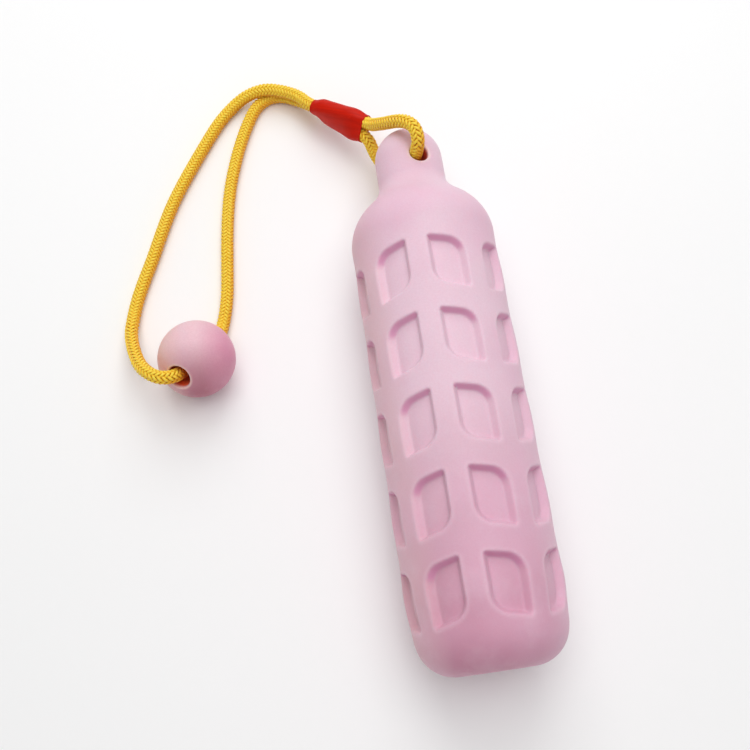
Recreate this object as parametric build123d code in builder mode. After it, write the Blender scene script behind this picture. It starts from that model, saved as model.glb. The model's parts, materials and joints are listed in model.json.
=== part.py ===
from build123d import *
import math
import os

# A training bumper: a bottle-shaped foam body lying on its side, with a rope loop through a hole
# in its neck and a ball threaded on the loop. Units are millimetres. The body's axis runs along Y,
# its neck points to +Y, and the floor is the plane z = 0 under the middle of the body.

# ---- driving dimensions ----
body_length = 246.0
body_radius = 32.5
bottom_rounding = 17.0
shoulder_start_y = 63.2
shoulder_arc_radius = 24.0
neck_radius = 15.7
neck_fillet = 5.0

hole_y = 103.0
hole_diameter = 10.8
hole_lean_deg = 10.0
hole_rim_rounding = 2.5

row_count = 5
columns_of_each_hand = 4
first_row_y = 40.3
row_pitch = 33.3
left_column_deg = 55.7
right_column_deg = 10.7
pocket_width = 17.0
pocket_tall_half = 13.2
pocket_short_half = 10.2
pocket_round_corner = 6.0
pocket_sharp_corner = 1.5
pocket_depth = 3.0
pocket_wall_lean_deg = 38.0
pocket_cut_start = 1.5

ball_radius = 17.5
ball_centre = Vector(-108.4, 28.9, ball_radius)
ball_bore_diameter = 10.0
ball_rim_rounding = 2.0
bore_rise_deg = 36.5
bore_heading_deg = -122.3

rope_diameter = 6.0
arc_share_of_run = 0.45
floor_line = 3.02

sleeve_near_end = Vector(-16.7, 136.7, 20.0)
sleeve_far_end = Vector(-38.1, 157.5, 12.0)
strand_offset = 3.2
near_lie_deg = 40.0
far_lie_deg = -18.0
wrap_gap = 0.15
sleeve_wall = 0.5
seizing_thickness = 0.7

os.makedirs("parts", exist_ok=True)

rope_radius = rope_diameter / 2
axis_height = body_radius
bottom_y = -body_length / 2
dome_top_y = body_length / 2
dome_start_y = dome_top_y - neck_radius


def finish(part, name):
    """Label a finished piece and write it to its own file."""
    part.label = name
    export_step(part, f"parts/{name}.step")


# ---- pockets of the body ----
# A pocket is a four-sided recess with two sharp corners and two round ones. Neighbouring columns
# are mirror images, so their slanted ends make chevrons round the body.
def pocket_planes(first_column_deg):
    """Planes over every second column's pockets: x round the body, y to the neck, z outwards."""
    planes = []
    for row in range(row_count):
        for column in range(columns_of_each_hand):
            angle = math.radians(first_column_deg + column * 360 / columns_of_each_hand)
            outwards = Vector(math.sin(angle), 0, math.cos(angle))
            round_body = Vector(math.cos(angle), 0, -math.sin(angle))
            foot = Vector(0, first_row_y - row * row_pitch, axis_height)
            start = foot + outwards * (body_radius + pocket_cut_start)
            planes.append(Plane(origin=start, x_dir=round_body, z_dir=outwards))
    return planes


wall_spread = pocket_cut_start * math.tan(math.radians(pocket_wall_lean_deg))
half_width = pocket_width / 2 + wall_spread
tall_half = pocket_tall_half + wall_spread
short_half = pocket_short_half + wall_spread
pocket_corner_radii = [
    pocket_sharp_corner,
    pocket_round_corner,
    pocket_sharp_corner,
    pocket_round_corner,
]

with BuildPart() as pockets:
    with BuildSketch(*pocket_planes(left_column_deg)):
        with BuildLine():
            FilletPolyline(
                (-half_width, -tall_half),
                (half_width, -short_half),
                (half_width, tall_half),
                (-half_width, short_half),
                radius=pocket_corner_radii,
                close=True,
            )
        make_face()
    with BuildSketch(*pocket_planes(right_column_deg)):
        with BuildLine():
            FilletPolyline(
                (half_width, -tall_half),
                (half_width, short_half),
                (-half_width, tall_half),
                (-half_width, -short_half),
                radius=pocket_corner_radii,
                close=True,
            )
        make_face()
    extrude(amount=-2 * pocket_depth - pocket_cut_start, taper=pocket_wall_lean_deg)
    with Locations(Location((0, 0, axis_height), (90, 0, 0))):
        Cylinder(body_radius - pocket_depth, body_length, mode=Mode.SUBTRACT)

# ---- bumper body ----
# The profile is drawn in a plane through the body's axis that passes between two columns of
# pockets: x is the radius and y runs to the neck.
arc_centre_r = body_radius - shoulder_arc_radius
arc_end_deg = math.degrees(math.acos((neck_radius - arc_centre_r) / shoulder_arc_radius))
body_axis = Axis((0, 0, axis_height), (0, 1, 0))
hole_lean = math.radians(hole_lean_deg)
hole_direction = Vector(math.sin(hole_lean), 0, math.cos(hole_lean))
hole_plane = Plane(origin=(0, hole_y, axis_height), z_dir=hole_direction)

between_columns = math.radians(right_column_deg + 180 / (2 * columns_of_each_hand))
profile_out = Vector(math.sin(between_columns), 0, math.cos(between_columns))
profile_plane = Plane(
    origin=(0, 0, axis_height), x_dir=profile_out, z_dir=profile_out.cross(Vector(0, 1, 0))
)

with BuildPart() as body:
    with BuildSketch(profile_plane) as profile:
        with BuildLine():
            Line((0, dome_top_y), (0, bottom_y))
            Line((0, bottom_y), (body_radius, bottom_y))
            Line((body_radius, bottom_y), (body_radius, shoulder_start_y))
            shoulder = CenterArc(
                (arc_centre_r, shoulder_start_y), shoulder_arc_radius, 0, arc_end_deg
            )
            Line(shoulder @ 1, (neck_radius, dome_start_y))
            CenterArc((0, dome_start_y), neck_radius, 0, 90)
        make_face()
        base_corner = profile.vertices().sort_by_distance((body_radius, bottom_y))[0]
        fillet(base_corner, bottom_rounding)
        neck_corner = profile.vertices().sort_by_distance(shoulder @ 1)[0]
        fillet(neck_corner, neck_fillet)
    revolve(axis=body_axis)
    with BuildSketch(hole_plane):
        Circle(hole_diameter / 2)
    extrude(amount=2 * neck_radius, both=True, mode=Mode.SUBTRACT)
    fillet(body.edges(Select.LAST).filter_by(GeomType.LINE, reverse=True), hole_rim_rounding)
    add(pockets.part, mode=Mode.SUBTRACT)

finish(body.part, "bumper_body")
print(f"body volume {body.part.volume / 1000:.1f} cm3")

# ---- throw ball ----
bore_rise = math.radians(bore_rise_deg)
bore_heading = math.radians(bore_heading_deg)
bore_direction = Vector(
    math.cos(bore_rise) * math.cos(bore_heading),
    math.cos(bore_rise) * math.sin(bore_heading),
    math.sin(bore_rise),
)
bore_plane = Plane(origin=ball_centre, z_dir=bore_direction)

with BuildPart() as ball:
    with BuildSketch(Plane.XZ) as ball_profile:
        with BuildLine():
            CenterArc((0, 0), ball_radius, -90, 180)
            Line((0, ball_radius), (0, -ball_radius))
        make_face()
        Rectangle(ball_bore_diameter, 2 * ball_radius, mode=Mode.SUBTRACT)
        fillet(ball_profile.vertices(), ball_rim_rounding)
    revolve(axis=Axis.Z)

placed_ball = bore_plane.location * ball.part
finish(placed_ball, "throw_ball")


# ---- where the rope's strands lie side by side, under the sleeve ----
# Two strands turn a little round each other along the sleeve. Fraction 0 is its end near the neck
# and fraction 1 its far end; hand is 1 for the upper strand and -1 for the lower one.
sleeve_span = sleeve_far_end - sleeve_near_end
sleeve_direction = sleeve_span.normalized()
level_side = sleeve_direction.cross(Vector(0, 0, 1)).normalized()
raised_side = level_side.cross(sleeve_direction)


def lie_direction(fraction):
    """The direction from the lower strand to the upper one."""
    angle = math.radians(near_lie_deg + (far_lie_deg - near_lie_deg) * fraction)
    return raised_side * math.cos(angle) + level_side * math.sin(angle)


def strand_point(fraction, hand):
    """A point on one strand's centre line under the sleeve."""
    middle = sleeve_near_end + sleeve_span * fraction
    return middle + lie_direction(fraction) * (strand_offset * hand)


def wrap_loft(stations):
    """A solid round both strands: stations are (fraction, distance from each strand's centre)."""
    with BuildPart() as wrap:
        for fraction, reach in stations:
            middle = sleeve_near_end + sleeve_span * fraction
            with BuildSketch(
                Plane(origin=middle, x_dir=lie_direction(fraction), z_dir=sleeve_direction)
            ):
                SlotCenterToCenter(2 * strand_offset, 2 * reach)
        loft(ruled=True)
    return wrap.part


# ---- rope ----
def bore_point(along, above):
    """A point in the ball's bore: along its axis from the centre, and above the axis."""
    upwards = bore_direction.cross(Vector(0, 0, 1).cross(bore_direction)).normalized()
    return ball_centre + bore_direction * along + upwards * above


lower_strand = [
    strand_point(0.56, -1),
    strand_point(1.08, -1),
    Vector(-46.2, 168.0, 5.0),
    Vector(-53.8, 173.4, 3.1),
    Vector(-62.0, 174.0, floor_line),
    Vector(-69.0, 169.4, floor_line),
    Vector(-73.6, 161.6, floor_line),
    Vector(-78.5, 150.5, floor_line),
    Vector(-83.2, 137.0, floor_line),
    Vector(-87.6, 120.5, floor_line),
    Vector(-90.4, 101.0, floor_line),
    Vector(-92.2, 80.0, floor_line),
    Vector(-93.7, 62.0, floor_line),
]
through_ball = [
    bore_point(-24.2, 0),
    bore_point(-13.0, -0.6),
    bore_point(0.0, -1.0),
    bore_point(15.0, 0),
]
upper_strand = [
    Vector(-120.2, 17.2, 29.0),
    Vector(-126.2, 18.9, 29.1),
    Vector(-131.9, 24.9, 25.8),
    Vector(-135.2, 32.6, 20.0),
    Vector(-137.6, 40.5, 14.0),
    Vector(-139.4, 49.0, 8.0),
    Vector(-138.9, 58.4, 3.6),
    Vector(-136.3, 68.6, floor_line),
    Vector(-132.2, 79.0, floor_line),
    Vector(-127.6, 89.5, floor_line),
    Vector(-122.4, 103.3, floor_line),
    Vector(-116.4, 117.5, floor_line),
    Vector(-109.3, 130.4, floor_line),
    Vector(-101.8, 142.6, floor_line),
    Vector(-95.0, 153.4, floor_line),
    Vector(-89.3, 161.9, floor_line),
    Vector(-82.5, 169.4, 3.3),
    Vector(-74.3, 174.2, 6.0),
    Vector(-64.3, 174.9, 9.4),
    Vector(-55.0, 172.4, 9.6),
    Vector(-46.6, 166.8, 11.4),
    strand_point(1.08, 1),
    strand_point(0.5, 1),
    strand_point(-0.1, 1),
]
over_neck = [
    Vector(-12.4, 131.6, 30.5),
    Vector(-8.9, 125.2, 40.0),
    Vector(-5.4, 119.4, 49.5),
    Vector(-2.7, 114.8, 55.1),
    Vector(-0.5, 110.6, 56.6),
    Vector(0.2, 105.9, 55.0),
]
through_neck = [
    Vector(0, hole_y, 51.0),
    Vector(0, hole_y, 13.0),
]
under_neck = [
    Vector(-1.9, 106.4, 9.3),
    Vector(-4.9, 111.6, 8.8),
    Vector(-9.4, 119.6, 10.0),
    Vector(-13.5, 126.8, 13.0),
    strand_point(-0.1, -1),
    strand_point(0.22, -1),
    strand_point(0.44, -1),
]
route = lower_strand + through_ball + upper_strand + over_neck + through_neck + under_neck


def corner_radii_of(points):
    """The radius at each corner: as large as its two runs allow."""
    radii = []
    for before, corner, after in zip(points, points[1:], points[2:]):
        run_in = corner - before
        run_out = after - corner
        half_turn = math.radians(run_in.get_angle(run_out)) / 2
        shorter = min(run_in.length, run_out.length)
        radii.append(arc_share_of_run * shorter / math.tan(half_turn))
    return radii


rope_radii = corner_radii_of(route)

with BuildPart() as rope:
    with BuildLine() as rope_line:
        FilletPolyline(*route, radius=rope_radii)
    with BuildSketch(Plane(origin=rope_line.line @ 0, z_dir=rope_line.line % 0)):
        Circle(rope_radius)
    sweep()

finish(rope.part, "throw_rope")

rope_length = rope_line.wires()[0].length
print("rope corner radii:", ", ".join(f"{radius:.1f}" for radius in rope_radii))
print(f"rope length {rope_length:.1f}")
section_area = math.pi * rope_radius**2
print(f"tube volume over section x length: {rope.part.volume / (section_area * rope_length):.5f}")

# ---- sleeve and seizings ----
# Each seizing binds one cut end of the rope to the strand that runs through. The sleeve shrinks
# over both, so it swells a little there.
inside = rope_radius + wrap_gap
over_seizing = inside + seizing_thickness
neck_side_seizing = (0.18, 0.36)
far_side_seizing = (0.66, 0.84)
swell_length = 0.04


def swollen_stations(extra):
    """Stations of a surface that lies a little outside the strands and the seizings."""
    stations = [(0.0, inside + extra)]
    for start, end in (neck_side_seizing, far_side_seizing):
        stations.append((start - swell_length, inside + extra))
        stations.append((start, over_seizing + wrap_gap + extra))
        stations.append((end, over_seizing + wrap_gap + extra))
        stations.append((end + swell_length, inside + extra))
    stations.append((1.0, inside + extra))
    return stations


seizings = []
for start, end in (neck_side_seizing, far_side_seizing):
    outer = wrap_loft([(start, over_seizing), (end, over_seizing)])
    inner = wrap_loft([(start, inside), (end, inside)])
    seizings.append(outer - inner)
finish(Compound(children=seizings), "rope_seizing")

sleeve = wrap_loft(swollen_stations(sleeve_wall)) - wrap_loft(swollen_stations(0))
finish(sleeve, "joint_sleeve")
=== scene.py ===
"""A foam training bumper with a rope loop and a threaded ball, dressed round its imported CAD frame.

All sizes are metres in the CAD frame: the body's axis runs along Y with its neck to +Y, and it lies
on the floor z = 0. The CAD nodes give every place; this file adds shapes, materials, floor and light.
"""

import json
import math

import bpy
import numpy as np
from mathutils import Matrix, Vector


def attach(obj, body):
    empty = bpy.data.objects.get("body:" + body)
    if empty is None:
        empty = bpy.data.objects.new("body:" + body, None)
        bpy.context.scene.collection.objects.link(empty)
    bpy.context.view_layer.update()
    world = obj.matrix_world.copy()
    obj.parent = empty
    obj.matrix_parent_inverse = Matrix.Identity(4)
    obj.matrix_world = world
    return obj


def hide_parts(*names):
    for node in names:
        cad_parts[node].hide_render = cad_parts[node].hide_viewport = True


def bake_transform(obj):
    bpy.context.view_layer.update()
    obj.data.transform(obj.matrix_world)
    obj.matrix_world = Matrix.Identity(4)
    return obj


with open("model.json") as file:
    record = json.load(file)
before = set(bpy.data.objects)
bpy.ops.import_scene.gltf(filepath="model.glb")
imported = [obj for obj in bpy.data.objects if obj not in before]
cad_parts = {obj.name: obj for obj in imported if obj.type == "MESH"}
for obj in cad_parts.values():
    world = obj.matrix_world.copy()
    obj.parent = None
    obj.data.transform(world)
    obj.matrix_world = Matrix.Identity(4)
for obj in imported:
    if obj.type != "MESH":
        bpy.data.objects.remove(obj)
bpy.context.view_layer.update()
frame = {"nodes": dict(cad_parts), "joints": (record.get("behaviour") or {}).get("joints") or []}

mm = 0.001

# ---- camera ----
camera_azimuth_deg = -8.05
camera_elevation_deg = 70.85
camera_distance = 0.4367
camera_target = Vector((-0.0288, 0.0160, 0.0))
camera_lens_mm = 44.6

azimuth = math.radians(camera_azimuth_deg)
elevation = math.radians(camera_elevation_deg)
towards_camera = Vector(
    (
        math.sin(azimuth) * math.cos(elevation),
        -math.cos(azimuth) * math.cos(elevation),
        math.sin(elevation),
    )
)
camera_data = bpy.data.cameras.new("camera")
camera_data.sensor_width = 36.0
camera_data.lens = camera_lens_mm
camera_data.clip_start = 0.01
camera_data.clip_end = 20.0
camera = bpy.data.objects.new("camera", camera_data)
camera.location = camera_target + towards_camera * camera_distance
camera.rotation_mode = "QUATERNION"
camera.rotation_quaternion = (-towards_camera).to_track_quat("-Z", "Y")
bpy.context.scene.collection.objects.link(camera)
bpy.context.scene.camera = camera


# ---- small mesh helpers ----
def new_piece(name, points, faces, material):
    """A smooth-shaded mesh object from an array of points and a list of faces."""
    mesh = bpy.data.meshes.new(name)
    mesh.from_pydata(points.tolist(), [], faces)
    mesh.polygons.foreach_set("use_smooth", np.ones(len(mesh.polygons), bool))
    mesh.materials.append(material)
    mesh.update()
    piece = bpy.data.objects.new(name, mesh)
    bpy.context.scene.collection.objects.link(piece)
    return piece


def add_values(piece, name, values):
    """A named number at each point, for the material to read."""
    attribute = piece.data.attributes.new(name, "FLOAT", "POINT")
    attribute.data.foreach_set("value", np.asarray(values, np.float32).ravel())


def add_vectors(piece, name, values):
    """A named vector at each point, for the material to read."""
    attribute = piece.data.attributes.new(name, "FLOAT_VECTOR", "POINT")
    attribute.data.foreach_set("vector", np.asarray(values, np.float32).ravel())


def smooth_step(low, high, values):
    """0 below low, 1 above high, and a smooth rise between them."""
    share = np.clip((values - low) / (high - low), 0.0, 1.0)
    return share * share * (3 - 2 * share)


def rings_to_faces(ring_count, ring_size, closed_along=False):
    """Quads between rings of points that follow each other."""
    rings = ring_count if closed_along else ring_count - 1
    first = np.arange(rings)[:, None] * ring_size
    second = (np.arange(1, rings + 1) % ring_count)[:, None] * ring_size
    here = np.arange(ring_size)[None, :]
    following = (here + 1) % ring_size
    quads = np.stack([first + here, first + following, second + following, second + here], -1)
    return quads.reshape(-1, 4)


# ---- material helpers ----
class Nodes:
    """A material's node tree with short calls for the nodes that are used here."""

    def __init__(self, name):
        self.material = bpy.data.materials.new(name)
        self.material.use_nodes = True
        self.tree = self.material.node_tree
        self.shader = self.tree.nodes["Principled BSDF"]
        self.place = self.add("ShaderNodeTexCoord").outputs["Object"]

    def add(self, kind, **settings):
        node = self.tree.nodes.new(kind)
        for key, value in settings.items():
            setattr(node, key, value)
        return node

    def link(self, source, target):
        self.tree.links.new(source, target)

    def value(self, name):
        """The numbers that a mesh carries under this name."""
        return self.add("ShaderNodeAttribute", attribute_name=name).outputs["Fac"]

    def vector(self, name):
        """The vectors that a mesh carries under this name."""
        return self.add("ShaderNodeAttribute", attribute_name=name).outputs["Vector"]

    def noise(self, per_metre, detail=3.0, roughness=0.5, stretch=None, place=None):
        """Noise with about this many features in a metre, stretched along an axis if asked."""
        node = self.add("ShaderNodeTexNoise")
        node.inputs["Scale"].default_value = per_metre
        node.inputs["Detail"].default_value = detail
        node.inputs["Roughness"].default_value = roughness
        source = place or self.place
        if stretch:
            mapping = self.add("ShaderNodeMapping")
            mapping.inputs["Scale"].default_value = stretch
            self.link(source, mapping.inputs["Vector"])
            source = mapping.outputs["Vector"]
        self.link(source, node.inputs["Vector"])
        return node.outputs["Fac"]

    def spread(self, source, low, high, to_low=0.0, to_high=1.0):
        """A number's range mapped to another range, and clamped."""
        node = self.add("ShaderNodeMapRange")
        node.inputs["From Min"].default_value = low
        node.inputs["From Max"].default_value = high
        node.inputs["To Min"].default_value = to_low
        node.inputs["To Max"].default_value = to_high
        self.link(source, node.inputs["Value"])
        return node.outputs["Result"]

    def mix(self, share, first, second):
        """A colour between two, each a colour or a socket."""
        node = self.add("ShaderNodeMix", data_type="RGBA")
        self.link(share, node.inputs["Factor"])
        for value, socket in ((first, node.inputs[6]), (second, node.inputs[7])):
            if isinstance(value, tuple):
                socket.default_value = (*value, 1.0)
            else:
                self.link(value, socket)
        return node.outputs[2]

    def bumps(self, *layers):
        """Bump layers on top of each other: each is (height socket, distance, strength)."""
        normal = None
        for height, distance, strength in layers:
            node = self.add("ShaderNodeBump")
            node.inputs["Distance"].default_value = distance
            node.inputs["Strength"].default_value = strength
            self.link(height, node.inputs["Height"])
            if normal:
                self.link(normal, node.inputs["Normal"])
            normal = node.outputs["Normal"]
        self.link(normal, self.shader.inputs["Normal"])


# ---- materials ----
def foam(name, colours, seed_shift, light_fade_along, side_shading_across):
    """Moulded foam: soft matte skin, cloudy colour, fine pits, a painted red glow where a bore traps
    light.

    The colour runs from painted shade to painted light along Y between the two places given along Y,
    and takes on a painted side shading towards each of the two places given across X. Pocket rims and
    the mouths of holes get a paler painted highlight, and a pocket wall that faces the base gets a
    pinker painted shade.
    """
    # The painted side shading: how far in from each side it runs, and its largest share.
    side_shading_run = 12 * mm
    side_shading_share = 0.7
    left_edge, right_edge = side_shading_across
    n = Nodes(name)
    split = n.add("ShaderNodeSeparateXYZ")
    n.link(n.place, split.inputs["Vector"])
    light_fade = n.spread(split.outputs["Y"], *light_fade_along)
    left_share = n.spread(split.outputs["X"], left_edge + side_shading_run, left_edge, 0.0, side_shading_share)
    right_share = n.spread(split.outputs["X"], right_edge - side_shading_run, right_edge, 0.0, side_shading_share)
    moved = n.add("ShaderNodeVectorMath", operation="ADD")
    moved.inputs[1].default_value = seed_shift
    n.link(n.place, moved.inputs[0])
    place = moved.outputs["Vector"]
    clouds = n.noise(22.0, detail=2.0, roughness=0.55, place=place)
    patches = n.noise(70.0, detail=4.0, roughness=0.6, place=place)
    grain = n.noise(1400.0, detail=3.0, roughness=0.6, place=place)
    pits = n.noise(5200.0, detail=2.0, place=place)
    # Painted shade at low Y and painted light at high Y, then painted side shading across X.
    colour = n.mix(light_fade, colours["deep_and_shaded"], colours["pale"])
    colour = n.mix(left_share, colour, colours["left"])
    colour = n.mix(right_share, colour, colours["right"])
    colour = n.mix(n.spread(clouds, 0.42, 0.62, 0.0, 0.5), colour, colours["pink"])
    colour = n.mix(n.spread(patches, 0.5, 0.8, 0.0, 0.3), colour, colours["pale"])
    # Painted highlight along pocket rims.
    colour = n.mix(n.spread(n.value("rim"), 0.0, 1.0, 0.0, 0.3), colour, colours["pale"])
    colour = n.mix(n.spread(grain, 0.35, 0.7, 0.0, 0.12), colour, colours["deep_and_shaded"])
    # Painted pinker shade on pocket walls that face the base.
    colour = n.mix(n.spread(n.value("shaded_wall"), 0.0, 1.0, 0.0, 0.75), colour, colours["wall"])
    # Painted highlight round the mouths of holes.
    colour = n.mix(n.spread(n.value("lip_highlight"), 0.0, 1.0, 0.0, 0.8), colour, colours["lip_highlight"])
    # Painted red glow inside bores, standing for light that the foam traps there.
    colour = n.mix(n.value("bore"), colour, colours["bore"])
    n.link(colour, n.shader.inputs["Base Color"])
    n.link(n.spread(grain, 0.2, 0.8, 0.5, 0.66), n.shader.inputs["Roughness"])
    n.shader.inputs["Specular IOR Level"].default_value = 0.32
    n.shader.inputs["Sheen Weight"].default_value = 0.12
    n.shader.inputs["Sheen Roughness"].default_value = 0.5
    n.shader.inputs["Subsurface Weight"].default_value = 0.18
    n.shader.inputs["Subsurface Scale"].default_value = 0.004
    n.shader.inputs["Subsurface Radius"].default_value = (1.0, 0.35, 0.45)
    n.bumps((patches, 0.0006, 0.35), (grain, 0.00012, 0.5), (pits, 0.00004, 0.4))
    return n.material


def braided_rope():
    """Golden filament yarn: each strand's filaments run along it, and its sides carry a painted orange
    shade.
    """
    n = Nodes("braided_rope")
    strand = n.vector("strand_place")
    filaments = n.noise(1.0, detail=2.0, stretch=(260.0, 5200.0, 900.0), place=strand)
    tone = n.noise(1.0, detail=1.0, stretch=(90.0, 0.0, 300.0), place=strand)
    body_tone = n.noise(60.0, detail=2.0)
    golden, straw_and_highlight = (0.96, 0.56, 0.006), (1.0, 0.78, 0.09)
    amber_and_shade, gap_shade, red_bore_shade = (0.78, 0.29, 0.002), (0.32, 0.07, 0.001), (0.42, 0.05, 0.004)
    colour = n.mix(n.spread(filaments, 0.3, 0.7, 0.2, 0.8), golden, straw_and_highlight)
    colour = n.mix(n.spread(tone, 0.4, 0.75, 0.0, 0.3), colour, amber_and_shade)
    colour = n.mix(n.spread(body_tone, 0.5, 0.8, 0.0, 0.3), colour, straw_and_highlight)
    # Painted highlight on the tops of the floats.
    colour = n.mix(n.spread(n.value("height"), 0.86, 0.98, 0.0, 0.6), colour, straw_and_highlight)
    # Painted orange shade on the side that faces away from the light.
    colour = n.mix(n.spread(n.value("shaded_side"), 0.0, 1.0, 0.0, 0.7), colour, amber_and_shade)
    # Painted orange shade where the strands dive, and a painted dark shade in the gaps and on the
    # core.
    colour = n.mix(n.spread(n.value("height"), 0.86, 0.60, 0.0, 0.9), colour, amber_and_shade)
    colour = n.mix(n.spread(n.value("height"), 0.64, 0.34), colour, gap_shade)
    # Painted red shade inside the ball's bore and the neck's hole.
    colour = n.mix(n.spread(n.value("bore_shade"), 0.0, 1.0, 0.0, 0.85), colour, red_bore_shade)
    n.link(colour, n.shader.inputs["Base Color"])
    n.link(n.spread(filaments, 0.3, 0.7, 0.30, 0.44), n.shader.inputs["Roughness"])
    n.shader.inputs["Specular IOR Level"].default_value = 0.28
    n.shader.inputs["Subsurface Weight"].default_value = 0.1
    n.shader.inputs["Subsurface Scale"].default_value = 0.0012
    n.shader.inputs["Subsurface Radius"].default_value = (1.0, 0.5, 0.1)
    n.bumps((filaments, 0.00012, 0.7))
    return n.material


def shrink_sleeve():
    """Red heat-shrink tube: satin, with faint stretch lines along it and small scuffs."""
    n = Nodes("shrink_sleeve")
    place = n.vector("sleeve_place")
    stretch_lines = n.noise(1.0, detail=3.0, stretch=(60.0, 900.0, 1.0), place=place)
    scuffs = n.noise(420.0, detail=4.0, roughness=0.65)
    red, dark_red, worn_red = (0.62, 0.012, 0.001), (0.50, 0.008, 0.001), (0.68, 0.02, 0.003)
    colour = n.mix(n.spread(stretch_lines, 0.35, 0.7), red, dark_red)
    colour = n.mix(n.spread(scuffs, 0.58, 0.78, 0.0, 0.6), colour, worn_red)
    n.link(colour, n.shader.inputs["Base Color"])
    n.link(n.spread(scuffs, 0.3, 0.75, 0.36, 0.52), n.shader.inputs["Roughness"])
    n.shader.inputs["Specular IOR Level"].default_value = 0.12
    n.bumps((stretch_lines, 0.0002, 0.25), (scuffs, 0.00008, 0.4))
    return n.material


def twine():
    """Waxed whipping twine under the sleeve: turns round both strands, with a fibre grain."""
    n = Nodes("twine")
    turns = n.add("ShaderNodeTexWave", wave_type="BANDS", bands_direction="X")
    turns.inputs["Scale"].default_value = 320.0
    turns.inputs["Distortion"].default_value = 1.2
    n.link(n.place, turns.inputs["Vector"])
    fibres = n.noise(2600.0, detail=3.0)
    colour = n.mix(n.spread(turns.outputs["Fac"], 0.1, 0.9), (0.55, 0.42, 0.25), (0.78, 0.68, 0.48))
    colour = n.mix(n.spread(fibres, 0.4, 0.7, 0.0, 0.4), colour, (0.42, 0.30, 0.16))
    n.link(colour, n.shader.inputs["Base Color"])
    n.link(n.spread(fibres, 0.3, 0.7, 0.6, 0.8), n.shader.inputs["Roughness"])
    n.bumps((turns.outputs["Fac"], 0.0002, 0.8), (fibres, 0.00005, 0.5))
    return n.material


def pale_floor():
    """A plain near-white studio floor."""
    n = Nodes("pale_floor")
    tone = n.noise(3.0, detail=1.0)
    colour = n.mix(n.spread(tone, 0.3, 0.7), (0.965, 0.965, 0.965), (0.98, 0.98, 0.98))
    n.link(colour, n.shader.inputs["Base Color"])
    n.shader.inputs["Roughness"].default_value = 0.9
    n.shader.inputs["Specular IOR Level"].default_value = 0.1
    return n.material


body_foam = foam(
    "body_foam",
    colours={
        "deep_and_shaded": (0.60, 0.26, 0.37),
        "pink": (0.78, 0.46, 0.60),
        "pale": (0.82, 0.59, 0.69),
        "left": (0.76, 0.48, 0.52),
        "right": (0.76, 0.50, 0.61),
        "wall": (0.69, 0.28, 0.47),
        "lip_highlight": (0.90, 0.72, 0.72),
        "bore": (0.85, 0.10, 0.03),
    },
    seed_shift=(0.0, 0.0, 0.0),
    light_fade_along=(-0.120, -0.010),
    side_shading_across=(-0.030, 0.030),
)
ball_foam = foam(
    "ball_foam",
    colours={
        "deep_and_shaded": (0.46, 0.14, 0.20),
        "pink": (0.76, 0.42, 0.50),
        "pale": (0.84, 0.56, 0.62),
        "left": (0.84, 0.50, 0.42),
        "right": (0.74, 0.25, 0.42),
        "wall": (0.70, 0.25, 0.38),
        "lip_highlight": (0.92, 0.66, 0.60),
        "bore": (0.98, 0.12, 0.02),
    },
    seed_shift=(0.37, 0.11, 0.05),
    light_fade_along=(0.011, 0.031),
    side_shading_across=(-0.1235, -0.0935),
)
rope_material = braided_rope()
sleeve_material = shrink_sleeve()

# ---- the rope's line ----
floor_line = 3.2 * mm

sleeve_near_end = Vector((-0.0167, 0.1367, 0.0200))
sleeve_far_end = Vector((-0.0381, 0.1575, 0.0120))
strand_offset = 3.2 * mm
near_lie_deg = 40.0
far_lie_deg = -18.0
end_twist_deg = -12.0
neck_side_seizing = (0.18, 0.36)
far_side_seizing = (0.66, 0.84)

sleeve_span = sleeve_far_end - sleeve_near_end
sleeve_direction = sleeve_span.normalized()
level_side = sleeve_direction.cross(Vector((0, 0, 1))).normalized()
raised_side = level_side.cross(sleeve_direction)


def lie_direction(fraction):
    """The direction from the lower strand to the upper one, along the sleeve."""
    end_twist = end_twist_deg * float(smooth_step(far_side_seizing[1], 1.0, fraction))
    angle = math.radians(near_lie_deg + (far_lie_deg - near_lie_deg) * fraction + end_twist)
    return raised_side * math.cos(angle) + level_side * math.sin(angle)


def strand_point(fraction, hand):
    """A point on one strand's centre line under the sleeve."""
    middle = sleeve_near_end + sleeve_span * fraction
    return middle + lie_direction(fraction) * (strand_offset * hand)


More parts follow.
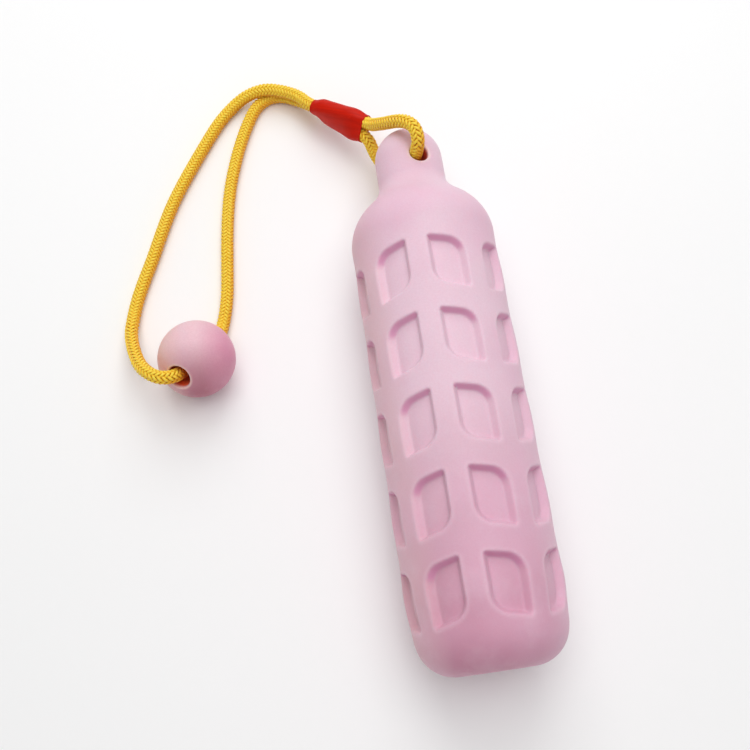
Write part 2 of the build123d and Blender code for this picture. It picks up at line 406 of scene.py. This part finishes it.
lower_strand = [
    strand_point(0.56, -1),
    strand_point(1.08, -1),
    (-0.0462, 0.1680, 0.0050),
    (-0.0538, 0.1734, 0.0031),
    (-0.0620, 0.1740, floor_line),
    (-0.0690, 0.1694, floor_line),
    (-0.0736, 0.1616, floor_line),
    (-0.0785, 0.1505, floor_line),
    (-0.0832, 0.1370, floor_line),
    (-0.0876, 0.1205, floor_line),
    (-0.0904, 0.1010, floor_line),
    (-0.0922, 0.0800, floor_line),
    (-0.0937, 0.0620, floor_line),
]
through_ball = [
    (-0.0980, 0.0453, 0.0031),
    (-0.1030, 0.0374, 0.0093),
    (-0.1087, 0.0284, 0.0165),
    (-0.1154, 0.0194, 0.0262),
]
upper_strand = [
    (-0.1202, 0.0172, 0.0290),
    (-0.1262, 0.0189, 0.0291),
    (-0.1319, 0.0249, 0.0258),
    (-0.1352, 0.0326, 0.0200),
    (-0.1376, 0.0405, 0.0140),
    (-0.1394, 0.0490, 0.0080),
    (-0.1389, 0.0584, 0.0036),
    (-0.1363, 0.0686, floor_line),
    (-0.1322, 0.0790, floor_line),
    (-0.1276, 0.0895, floor_line),
    (-0.1224, 0.1033, floor_line),
    (-0.1164, 0.1175, floor_line),
    (-0.1093, 0.1304, floor_line),
    (-0.1018, 0.1426, floor_line),
    (-0.0950, 0.1534, floor_line),
    (-0.0893, 0.1619, floor_line),
    (-0.0825, 0.1694, 0.0033),
    (-0.0743, 0.1742, 0.0060),
    (-0.0643, 0.1749, 0.0094),
    (-0.0550, 0.1724, 0.0096),
    (-0.0466, 0.1668, 0.0114),
    strand_point(1.08, 1),
    strand_point(0.5, 1),
    strand_point(-0.1, 1),
]
over_neck = [
    (-0.0124, 0.1316, 0.0305),
    (-0.0086, 0.1252, 0.0400),
    (-0.0044, 0.1194, 0.0495),
    (-0.0006, 0.1148, 0.0551),
    (0.0024, 0.1106, 0.0566),
    (0.0034, 0.1059, 0.0550),
]
through_neck = [
    (0.0031, 0.1032, 0.0510),
    (-0.0026, 0.1030, 0.0130),
]
under_neck = [
    (-0.0030, 0.1064, 0.0093),
    (-0.0049, 0.1116, 0.0088),
    (-0.0094, 0.1196, 0.0100),
    (-0.0135, 0.1268, 0.0130),
    strand_point(-0.1, -1),
    strand_point(0.22, -1),
    strand_point(0.44, -1),
]
route = lower_strand + through_ball + upper_strand + over_neck + through_neck + under_neck


def smooth_line(points):
    """Points read from the NURBS spline that has the route's points as its control points."""
    curve = bpy.data.curves.new("rope_line", "CURVE")
    curve.dimensions = "3D"
    curve.resolution_u = 24
    spline = curve.splines.new("NURBS")
    spline.points.add(len(points) - 1)
    for spline_point, place in zip(spline.points, points):
        spline_point.co = (*place, 1.0)
    spline.order_u = 3
    spline.use_endpoint_u = True
    holder = bpy.data.objects.new("rope_line", curve)
    mesh = bpy.data.meshes.new_from_object(holder)
    line = np.array([vertex.co for vertex in mesh.vertices], float)
    bpy.data.meshes.remove(mesh)
    bpy.data.objects.remove(holder)
    bpy.data.curves.remove(curve)
    return line


def evenly(line, step):
    """The line with its points about a step apart."""
    runs = np.linalg.norm(np.diff(line, axis=0), axis=1)
    along = np.concatenate([[0.0], np.cumsum(runs)])
    at = np.linspace(0.0, along[-1], int(round(along[-1] / step)) + 1)
    return np.stack([np.interp(at, along, line[:, k]) for k in range(3)], axis=1), at


def unit(vectors):
    """The vectors, each made one long."""
    return vectors / np.linalg.norm(vectors, axis=-1, keepdims=True)


def untwisted_sides(line):
    """Two directions across the line that follow it with no twist."""
    forward = unit(np.gradient(line, axis=0))
    side = np.zeros_like(line)
    side[0] = unit(np.cross(forward[0], (0.0, 0.0, 1.0)))
    for i in range(1, len(line)):
        carried = side[i - 1] - forward[i] * (side[i - 1] @ forward[i])
        side[i] = unit(carried)
    return side, np.cross(forward, side)


# ---- the rope's braid ----
# Sixteen strands, eight turning each way, over two and under two, so that the floats line up in
# four columns of chevrons round the rope.
strands_each_way = 8
braid_lead = 14.5 * mm
strand_middle_radius = 2.30 * mm
strand_weave_height = 0.42 * mm
strand_unevenness = 0.02 * mm
strand_half_width = 0.66 * mm
strand_half_thickness = 0.50 * mm
core_radius = 2.05 * mm
core_ring = 12
braid_steps_per_lead = 36
strand_ring = 10
# The braid's lead grows by this share where the rope is pulled taut.
taut_stretch = 0.5
taut_reach = 24 * mm
# The direction that the lit side of the rope faces. The other side gets a painted orange shade.
light_side = np.array((-0.70, 0.25, 0.67))

rope_line, rope_along = evenly(smooth_line(route), braid_lead / braid_steps_per_lead)
rope_side, rope_up = untwisted_sides(rope_line)


def braid_turns():
    """How often a strand has gone round, at each place: less often where the rope is pulled taut.

    It is taut where it climbs from the sleeve over the neck, and from the floor to the ball.
    """
    tautness = np.zeros(len(rope_line))
    for climb_middle in (over_neck[1], upper_strand[4]):
        climb_index = np.argmin(np.linalg.norm(rope_line - np.array(climb_middle), axis=1))
        from_climb = np.abs(rope_along - rope_along[climb_index])
        tautness += smooth_step(taut_reach, taut_reach / 2, from_climb)
    lead = braid_lead * (1 + taut_stretch * tautness)
    return np.concatenate([[0.0], np.cumsum(np.diff(rope_along) / lead[1:])])


turns_along = braid_turns()


def braid_strand(hand, number):
    """One strand's points, its place along, round and in the braid, and its height in the weave."""
    start = 2 * math.pi * number / strands_each_way
    angle = hand * 2 * math.pi * turns_along + start
    crossing = number + hand * turns_along * 2 * strands_each_way
    weave = hand * np.cos(2 * math.pi * (crossing + number - 0.5) / 4)
    unevenness = strand_unevenness * np.sin(rope_along * 210.0 + number * 2.4 + hand)
    radius = strand_middle_radius + strand_weave_height * weave + unevenness
    outwards = rope_side * np.cos(angle)[:, None] + rope_up * np.sin(angle)[:, None]
    centre = rope_line + outwards * radius[:, None]
    forward = unit(np.gradient(centre, axis=0))
    across = unit(np.cross(forward, outwards))
    lift = np.cross(across, forward)
    ring = np.linspace(0, 2 * math.pi, strand_ring, endpoint=False)
    offsets = (
        across[:, None, :] * (strand_half_width * np.cos(ring))[None, :, None]
        + lift[:, None, :] * (strand_half_thickness * np.sin(ring))[None, :, None]
    )
    points = centre[:, None, :] + offsets
    lengths = np.concatenate([[0], np.cumsum(np.linalg.norm(np.diff(centre, axis=0), axis=1))])
    place = np.zeros_like(points)
    place[..., 0] = lengths[:, None]
    place[..., 1] = (strand_half_width * np.cos(ring))[None, :] * hand
    place[..., 2] = (number + (1 + hand) * strands_each_way / 2) * 0.01
    height = 0.5 + 0.22 * weave[:, None] + 0.28 * np.sin(ring)[None, :]
    return points.reshape(-1, 3), place.reshape(-1, 3), height.ravel()


def core_tube(ring_size):
    """The round core inside the braid, as points and faces."""
    ring = np.linspace(0, 2 * math.pi, ring_size, endpoint=False)
    rings = core_radius * (
        rope_side[:, None, :] * np.cos(ring)[None, :, None]
        + rope_up[:, None, :] * np.sin(ring)[None, :, None]
    )
    points = (rope_line[:, None, :] + rings).reshape(-1, 3)
    faces = rings_to_faces(len(rope_line), ring_size)
    return points, faces


def braided_mesh():
    """The whole rope: a core and sixteen woven strands in one mesh."""
    points, places, heights, faces = [], [], [], []
    count = 0
    for hand in (1, -1):
        for number in range(strands_each_way):
            strand, place, height = braid_strand(hand, number)
            strand_faces = rings_to_faces(len(rope_line), strand_ring)
            caps = [np.arange(strand_ring)[::-1], np.arange(strand_ring) + len(strand) - strand_ring]
            points.append(strand)
            places.append(place)
            heights.append(height)
            faces += (strand_faces + count).tolist() + [(cap + count).tolist() for cap in caps]
            count += len(strand)
    core, core_faces = core_tube(core_ring)
    core_caps = [np.arange(core_ring)[::-1], np.arange(core_ring) + len(core) - core_ring]
    points.append(core)
    places.append(np.zeros_like(core))
    # The core's height of 0 gives it the painted dark shade of the gaps.
    heights.append(np.zeros(len(core)))
    faces += (core_faces + count).tolist() + [(cap + count).tolist() for cap in core_caps]
    return np.concatenate(points), faces, np.concatenate(places), np.concatenate(heights)


def facing_away(points):
    """1 where the rope's skin faces away from the light that grazes it, fading to 0 towards it."""
    ring_sizes = [strand_ring] * (2 * strands_each_way) + [core_ring]
    centres = np.concatenate([np.repeat(rope_line, size, axis=0) for size in ring_sizes])
    faced = unit(points - centres) @ light_side
    return smooth_step(0.25, -0.45, faced)


rope_points, rope_faces, rope_places, rope_heights = braided_mesh()
rope = new_piece("rope_braid", rope_points, rope_faces, rope_material)
add_vectors(rope, "strand_place", rope_places)
add_values(rope, "height", rope_heights)
add_values(rope, "shaded_side", facing_away(rope_points))
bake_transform(rope)
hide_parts("throw_rope")

# ---- the bumper's body ----
body_length = 246.0 * mm
body_radius = 32.5 * mm
bottom_rounding = 17.0 * mm
shoulder_start_y = 63.2 * mm
shoulder_arc_radius = 24.0 * mm
neck_radius = 15.7 * mm
neck_fillet = 9.0 * mm
hole_y = 103.0 * mm
hole_radius = 4.4 * mm
hole_lean_deg = 14.5
hole_rim_rounding = 1.0 * mm

# The painted highlight bands round the pockets and the holes: how far out each one's middle is, and
# its width.
rim_highlight_reach = 0.4 * mm
rim_highlight_width = 0.7 * mm
lip_highlight_reach = 0.5 * mm
lip_highlight_width = 0.55 * mm

row_count = 5
first_row_y = 40.3 * mm
row_pitch = 33.3 * mm
left_column_deg = 55.7
right_column_deg = 10.7
column_step_deg = 90.0
pocket_half_width = 8.5 * mm
pocket_tall_half = 13.2 * mm
pocket_short_half = 10.2 * mm
pocket_round_corner = 8.5 * mm
pocket_sharp_corner = 1.8 * mm
pocket_depth = 3.5 * mm
pocket_wall_run = 2.5 * mm
band_sag = 0.45 * mm
base_taper = 1.3 * mm
base_taper_start_y = -88.0 * mm
base_taper_end_y = -112.0 * mm
body_pitch = 0.75 * mm

axis_height = body_radius
bottom_y = -body_length / 2
top_y = body_length / 2


def filleted_union(first, second, radius):
    """Both shapes, with a round fillet where they meet."""
    near = np.hypot(np.maximum(radius - first, 0), np.maximum(radius - second, 0))
    return np.maximum(radius, np.minimum(first, second)) - near


def rounded_cut(shape, tool, radius):
    """The shape without the tool, with the cut's rim rounded."""
    near = np.hypot(np.maximum(radius + shape, 0), np.maximum(radius - tool, 0))
    return np.minimum(-radius, np.maximum(shape, -tool)) + near


def rounded_polygon(x, y, corners, radii):
    """How far points lie outside a convex polygon whose corners are rounded."""
    following = np.roll(corners, -1, axis=0)
    runs = unit(following - corners)
    normals = np.stack([runs[:, 1], -runs[:, 0]], axis=1)
    sides = [(x - c[0]) * n[0] + (y - c[1]) * n[1] for c, n in zip(corners, normals)]
    distance = np.maximum.reduce(sides)
    for i, radius in enumerate(radii):
        before, after = normals[i - 1], normals[i]
        reach = radius / (1 + before @ after)
        centre = corners[i] - (before + after) * reach
        dx = x - centre[0]
        dy = y - centre[1]
        past_before = before[0] * dy - before[1] * dx >= 0
        short_of_after = dx * after[1] - dy * after[0] >= 0
        in_corner = past_before & short_of_after
        distance = np.where(in_corner, np.hypot(dx, dy) - radius, distance)
    return distance


left_pocket = np.array(
    [
        (-pocket_half_width, -pocket_tall_half),
        (pocket_half_width, -pocket_short_half),
        (pocket_half_width, pocket_tall_half),
        (-pocket_half_width, pocket_short_half),
    ]
)
pocket_corner_radii = [
    pocket_sharp_corner,
    pocket_round_corner,
    pocket_sharp_corner,
    pocket_round_corner,
]


def pocket_distance(points):
    """How far points on the body's side lie outside the nearest pocket's outline."""
    turn = np.degrees(np.arctan2(points[:, 0], points[:, 2] - axis_height))
    row = np.clip(np.round((first_row_y - points[:, 1]) / row_pitch), 0, row_count - 1)
    y = points[:, 1] - first_row_y + row * row_pitch
    nearest = np.full(len(points), np.inf)
    for column_deg, mirror in ((left_column_deg, 1), (right_column_deg, -1)):
        half_step = column_step_deg / 2
        off_column = (turn - column_deg + half_step) % column_step_deg - half_step
        x = body_radius * np.sin(np.radians(off_column)) * mirror
        nearest = np.minimum(nearest, rounded_polygon(x, y, left_pocket, pocket_corner_radii))
    return nearest


def body_profile(points):
    """How far points lie outside the turned shape, before pockets and hole.

    The bands between the rows of pockets sag a little, and the body narrows towards its base.
    """
    radius = np.hypot(points[:, 0], points[:, 2] - axis_height)
    y = points[:, 1]
    rows_from_first = (first_row_y - y) / row_pitch
    in_rows = smooth_step(-0.9, -0.3, rows_from_first) * smooth_step(4.9, 4.3, rows_from_first)
    sag = band_sag * (0.5 - 0.5 * np.cos(2 * math.pi * rows_from_first)) * in_rows
    taper = base_taper * smooth_step(base_taper_start_y, base_taper_end_y, y)
    radius = radius + (sag + taper) * np.clip(radius / body_radius, 0, 1)
    middle_y = (bottom_y + shoulder_start_y + shoulder_arc_radius) / 2
    half_length = middle_y - bottom_y
    corner = np.where(y > middle_y, shoulder_arc_radius, bottom_rounding)
    out_r = radius - body_radius + corner
    out_y = np.abs(y - middle_y) - half_length + corner
    outside = np.hypot(np.maximum(out_r, 0), np.maximum(out_y, 0))
    barrel = outside + np.minimum(np.maximum(out_r, out_y), 0) - corner
    dome_y = top_y - neck_radius
    neck = np.hypot(radius, np.clip(y, 0, dome_y) - y) - neck_radius
    return filleted_union(barrel, neck, neck_fillet)


hole_lean = math.radians(hole_lean_deg)
hole_direction = np.array([math.sin(hole_lean), 0.0, math.cos(hole_lean)])


def hole_distance(points):
    """How far points lie outside the neck's hole."""
    from_middle = points - (0.0, hole_y, axis_height)
    along = from_middle @ hole_direction
    across = from_middle - along[:, None] * hole_direction
    return np.linalg.norm(across, axis=1) - hole_radius


def body_shape(points):
    """Below 0 inside the bumper's body and above 0 outside it."""
    pocket = pocket_distance(points)
    sunk = smooth_step(0.0, pocket_wall_run, -pocket)
    solid = body_profile(points) + pocket_depth * sunk
    return rounded_cut(solid, hole_distance(points), hole_rim_rounding)


def slope_of(points, shape, nudge=0.02 * mm):
    """The direction in which the shape's value grows fastest, and how fast it grows."""
    slope = np.zeros_like(points)
    for axis in range(3):
        shift = np.zeros(3)
        shift[axis] = nudge
        slope[:, axis] = (shape(points + shift) - shape(points - shift)) / (2 * nudge)
    return slope


def on_surface(points, shape, steps=3):
    """The points moved on to the shape's surface."""
    for _ in range(steps):
        slope = slope_of(points, shape)
        size = np.maximum((slope * slope).sum(1), 0.2)
        points = points - slope * (shape(points) / size)[:, None]
    return points


def surface_of(shape, low, high, pitch):
    """A closed quad mesh of a shape's surface: one point in each grid cell that it crosses."""
    axes = [np.arange(start, end + pitch, pitch) for start, end in zip(low, high)]
    grid = np.stack(np.meshgrid(*axes, indexing="ij"), -1)
    values = shape(grid.reshape(-1, 3)).reshape(grid.shape[:3])
    inside = values < 0
    cells = tuple(n - 1 for n in values.shape)
    steps = [(i, j, k) for i in (0, 1) for j in (0, 1) for k in (0, 1)]
    corners_inside = sum(
        inside[i : i + cells[0], j : j + cells[1], k : k + cells[2]].astype(np.int8)
        for i, j, k in steps
    )
    crossed = (corners_inside > 0) & (corners_inside < 8)
    where = np.argwhere(crossed)
    number = np.full(cells, -1)
    number[crossed] = np.arange(len(where))
    # Each crossed cell's point is the mean of the places where the surface cuts its edges.
    total = np.zeros((len(where), 3))
    count = np.zeros(len(where))
    for a in steps:
        for b in steps:
            if sum(b) - sum(a) == 1 and all(q >= p for p, q in zip(a, b)):
                start = values[tuple((where + a).T)]
                end = values[tuple((where + b).T)]
                cut = (start < 0) != (end < 0)
                share = np.where(cut, start / np.where(cut, start - end, 1.0), 0.0)
                place = where + np.array(a) + share[:, None] * (np.array(b) - np.array(a))
                total += place * cut[:, None]
                count += cut
    points = np.array(low) + total / count[:, None] * pitch
    # Each grid line that the surface cuts gives a quad between the four cells round it.
    faces = []
    for order in ((0, 1, 2), (1, 2, 0), (2, 0, 1)):
        turned = inside.transpose(order)
        turned_number = number.transpose(order)
        here = turned[:-1, 1:-1, 1:-1]
        there = turned[1:, 1:-1, 1:-1]
        quads = np.stack(
            [
                turned_number[:, :-1, :-1],
                turned_number[:, 1:, :-1],
                turned_number[:, 1:, 1:],
                turned_number[:, :-1, 1:],
            ],
            -1,
        )
        faces.append(quads[here & ~there])
        faces.append(quads[~here & there][:, ::-1])
    return on_surface(points, shape), np.concatenate(faces)


room = 2 * body_pitch
body_low = (-body_radius - room, bottom_y - room, -room)
body_high = (body_radius + room, top_y + room, 2 * body_radius + room)
body_points, body_faces = surface_of(body_shape, body_low, body_high, body_pitch)
body = new_piece("bumper_skin", body_points, body_faces.tolist(), body_foam)
from_pocket = pocket_distance(body_points)
# Painted highlight band along the pocket rims.
add_values(body, "rim", np.exp(-(((from_pocket - rim_highlight_reach) / rim_highlight_width) ** 2)))
# Painted pinker shade on the pocket walls that face the base.
facing_base = -unit(slope_of(body_points, body_shape))[:, 1]
from_wall = np.abs(from_pocket + pocket_wall_run / 2)
on_wall = smooth_step(pocket_wall_run / 2, 0.3 * mm, from_wall)
add_values(body, "shaded_wall", on_wall * smooth_step(0.12, 0.5, facing_base))
# Painted red glow far inside the neck's hole, and a painted highlight round its mouths.
from_hole = hole_distance(body_points)
depth_in_body = -body_profile(body_points)
in_hole = smooth_step(1.0 * mm, 0.1 * mm, from_hole)
add_values(body, "bore", in_hole * smooth_step(0.6 * mm, 2.8 * mm, depth_in_body))
add_values(body, "lip_highlight", np.exp(-(((from_hole - lip_highlight_reach) / lip_highlight_width) ** 2)))
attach(body, "bumper")
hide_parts("bumper_body")

# ---- the ball ----
# The ball turns about its bore, so both lie on the joint's axis and the rope stays clear of them.
ball_spin = next(joint for joint in frame["joints"] if joint["name"] == "ball_spin")
ball_radius = 17.5 * mm
ball_centre = Vector(ball_spin["pos_m"])
bore_radius = 5.3 * mm
ball_rim_rounding = 0.9 * mm
bore_direction = np.array(ball_spin["axis"]) / np.linalg.norm(ball_spin["axis"])


def bore_distance(points):
    """How far points lie outside the ball's bore."""
    from_centre = points - np.array(ball_centre)
    along = from_centre @ bore_direction
    return np.linalg.norm(from_centre - along[:, None] * bore_direction, axis=1) - bore_radius


def bored_ball_shape(points):
    """Below 0 inside the ball and above 0 outside it or in its bore."""
    ball_shape = np.linalg.norm(points - np.array(ball_centre), axis=1) - ball_radius
    return rounded_cut(ball_shape, bore_distance(points), ball_rim_rounding)


ball_pitch = 0.6 * mm
ball_reach = ball_radius + 2 * ball_pitch
ball_low = np.array(ball_centre) - ball_reach
ball_high = np.array(ball_centre) + ball_reach
ball_points, ball_faces = surface_of(bored_ball_shape, ball_low, ball_high, ball_pitch)
ball = new_piece("ball_skin", ball_points, ball_faces.tolist(), ball_foam)
# Painted red glow inside the ball's bore, and a painted highlight round its mouths.
ball_depth = ball_radius - np.linalg.norm(ball_points - np.array(ball_centre), axis=1)
add_values(ball, "bore", smooth_step(0.6 * mm, 2.4 * mm, ball_depth))
from_bore = bore_distance(ball_points)
add_values(ball, "lip_highlight", np.exp(-(((from_bore - lip_highlight_reach) / lip_highlight_width) ** 2)))
# The rope gets a painted red shade inside the ball's bore and the neck's hole.
rope_depth = ball_radius - np.linalg.norm(rope_points - np.array(ball_centre), axis=1)
rope_in_neck = -body_profile(rope_points)
bore_shade = np.maximum(
    smooth_step(0.0, 3.5 * mm, rope_depth), smooth_step(0.5 * mm, 5.0 * mm, rope_in_neck)
)
add_values(rope, "bore_shade", bore_shade)
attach(ball, "ball")
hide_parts("throw_ball")

# ---- the sleeve ----
sleeve_wall = 0.5 * mm
sleeve_inside = 3.2 * mm
seizing_swell = 0.72 * mm
seizing_hump = 0.45 * mm
hump_half_length = 0.12
crease_height = 0.03 * mm
sleeve_stations = 90
sleeve_around = 72


def sleeve_swell(fraction):
    """How far the sleeve swells over both seizings, with a hump over the one near the neck."""
    rise = smooth_step(0.02, neck_side_seizing[0], fraction)
    fall = smooth_step(0.98, far_side_seizing[1], fraction)
    hump_middle = (neck_side_seizing[0] + neck_side_seizing[1]) / 2
    hump = np.exp(-(((fraction - hump_middle) / hump_half_length) ** 2))
    return rise * fall * (seizing_swell + seizing_hump * hump)


def sleeve_ring(fraction, reach):
    """A ring round both strands, at one station."""
    lie = np.array(lie_direction(fraction))
    other = np.cross(np.array(sleeve_direction), lie)
    middle = np.array(sleeve_near_end + sleeve_span * fraction)
    turn = np.linspace(0, 2 * math.pi, sleeve_around, endpoint=False)
    creases = crease_height * np.sin(5 * turn + 9 * fraction)
    size = reach + creases
    flat_side = np.clip(2.2 * np.cos(turn), -1, 1)
    x = flat_side * strand_offset + size * np.cos(turn)
    y = size * np.sin(turn)
    return middle + x[:, None] * lie + y[:, None] * other


def sleeve_surface():
    """The sleeve's outside, its rolled ends and its inside, as one closed surface."""
    rings = []
    fractions = np.linspace(0.0, 1.0, sleeve_stations)
    outer = sleeve_inside + sleeve_wall
    for fraction in fractions:
        rings.append(sleeve_ring(fraction, outer + sleeve_swell(fraction)))
    for fraction in fractions[::-1]:
        rings.append(sleeve_ring(fraction, sleeve_inside + sleeve_swell(fraction)))
    points = np.concatenate(rings)
    faces = rings_to_faces(2 * sleeve_stations, sleeve_around, closed_along=True)
    span = np.concatenate([fractions, fractions[::-1]])
    place = np.zeros((len(rings), sleeve_around, 3))
    place[..., 0] = span[:, None] * sleeve_span.length
    place[..., 1] = np.linspace(0, 1, sleeve_around, endpoint=False)[None, :] * 0.03
    return points, faces, place.reshape(-1, 3)


sleeve_points, sleeve_faces, sleeve_places = sleeve_surface()
sleeve = new_piece("sleeve_skin", sleeve_points, sleeve_faces.tolist(), sleeve_material)
add_vectors(sleeve, "sleeve_place", sleeve_places)
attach(sleeve, "lanyard")
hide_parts("joint_sleeve")

# ---- the seizings under the sleeve keep their CAD shape ----
seizing = frame["nodes"]["rope_seizing"]
seizing.data.materials.clear()
seizing.data.materials.append(twine())


# ---- floor, light and air ----
def sweep_floor():
    """A pale round sweep: flat under the object, and curled up into a low wall far from it."""
    flat_radius = 1.1
    curl = 0.8
    around = 96
    out = [0.05, 0.2, 0.5, 0.8, flat_radius]
    rings = [(radius, 0.0) for radius in out]
    for turn_deg in range(10, 91, 10):
        turn = math.radians(turn_deg)
        rings.append((flat_radius + curl * math.sin(turn), curl * (1 - math.cos(turn))))
    turns = np.linspace(0, 2 * math.pi, around, endpoint=False)
    points = [
        np.stack([r * np.cos(turns), r * np.sin(turns), np.full(around, z)], axis=1)
        for r, z in rings
    ]
    faces = rings_to_faces(len(rings), around)[:, ::-1].tolist()
    faces.append(list(range(around)))
    return new_piece("floor", np.concatenate(points), faces, pale_floor())


sweep_floor()


def soft_box(name, place, aim, size, power):
    """A square area light that faces a point."""
    light = bpy.data.lights.new(name, "AREA")
    light.shape = "SQUARE"
    light.size = size
    light.energy = power
    lamp = bpy.data.objects.new(name, light)
    lamp.location = place
    lamp.visible_camera = False
    lamp.rotation_mode = "QUATERNION"
    lamp.rotation_quaternion = (Vector(aim) - Vector(place)).to_track_quat("-Z", "Y")
    bpy.context.scene.collection.objects.link(lamp)


soft_box("key_light", (0.03, 0.75, 0.80), (-0.02, 0.02, 0.02), size=0.8, power=4.3)
soft_box("top_light", (0.04, 0.05, 1.1), (0.0, 0.0, 0.0), size=0.9, power=5.6)

world = bpy.data.worlds.new("studio_air")
world.use_nodes = True
world.node_tree.nodes["Background"].inputs["Color"].default_value = (1.0, 1.0, 1.0, 1.0)
world.node_tree.nodes["Background"].inputs["Strength"].default_value = 0.35
bpy.context.scene.world = world
bpy.context.scene.view_settings.view_transform = "Standard"
